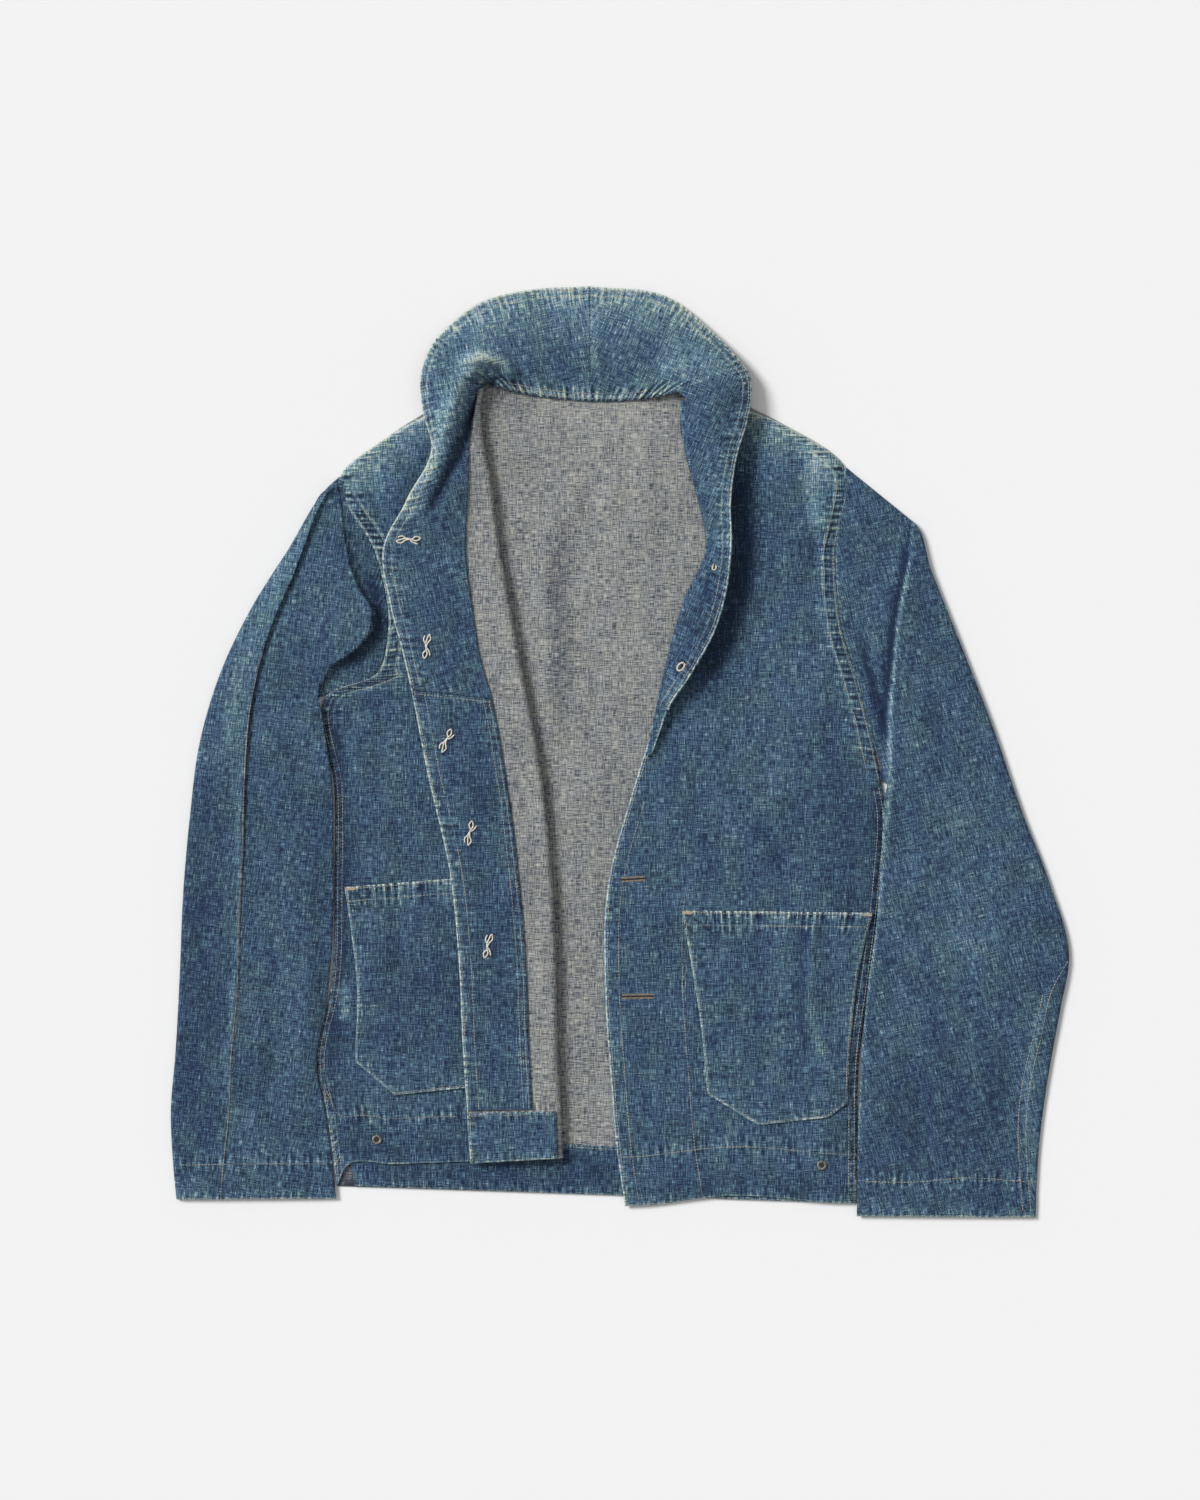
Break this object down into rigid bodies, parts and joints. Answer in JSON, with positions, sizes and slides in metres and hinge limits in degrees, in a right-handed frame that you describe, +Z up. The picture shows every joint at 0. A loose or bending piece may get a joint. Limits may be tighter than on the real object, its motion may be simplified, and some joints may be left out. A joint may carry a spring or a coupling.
{
  "type": "denim shawl-collar work jacket laid flat",
  "caption": "Worn indigo denim work jacket with a shawl collar, laid flat and open, one front folded back over its pocket, sleeves at its sides.",
  "frame": {"origin": "on the floor under the middle of the laid-out jacket", "axes": "+Z up out of the floor, +Y along the back from hem to collar, +X from the wearer's right to left"},
  "size_m": [0.808, 0.8374, 0.0251],
  "materials": {
    "denim_outside": "faded indigo denim, slubby plain face, pale at seams and folds",
    "denim_inside": "grey-beige wrong side of the denim with blue flecks",
    "button": "dull dark tack buttons",
    "eyelet": "worn plated eyelet rings"
  },
  "bodies": {
    "root": {"back": "denim_inside", "back_hem": "denim_outside", "front_right": "denim_inside", "front_right_hem": "denim_outside", "facing_right": "denim_outside", "front_left": "denim_outside", "facing_left": "denim_outside", "under_collar_right": "denim_outside", "under_collar_left": "denim_outside", "collar_right": "denim_outside", "collar_left": "denim_outside", "pocket_right": "denim_outside", "pocket_left": "denim_outside", "sleeve_right": "denim_outside", "sleeve_left": "denim_outside", "button_1": "button", "button_2": "button", "button_3": "button", "button_4": "button", "button_5": "button", "eyelet_right": "eyelet", "eyelet_left": "eyelet"}
  },
  "joints": []
}
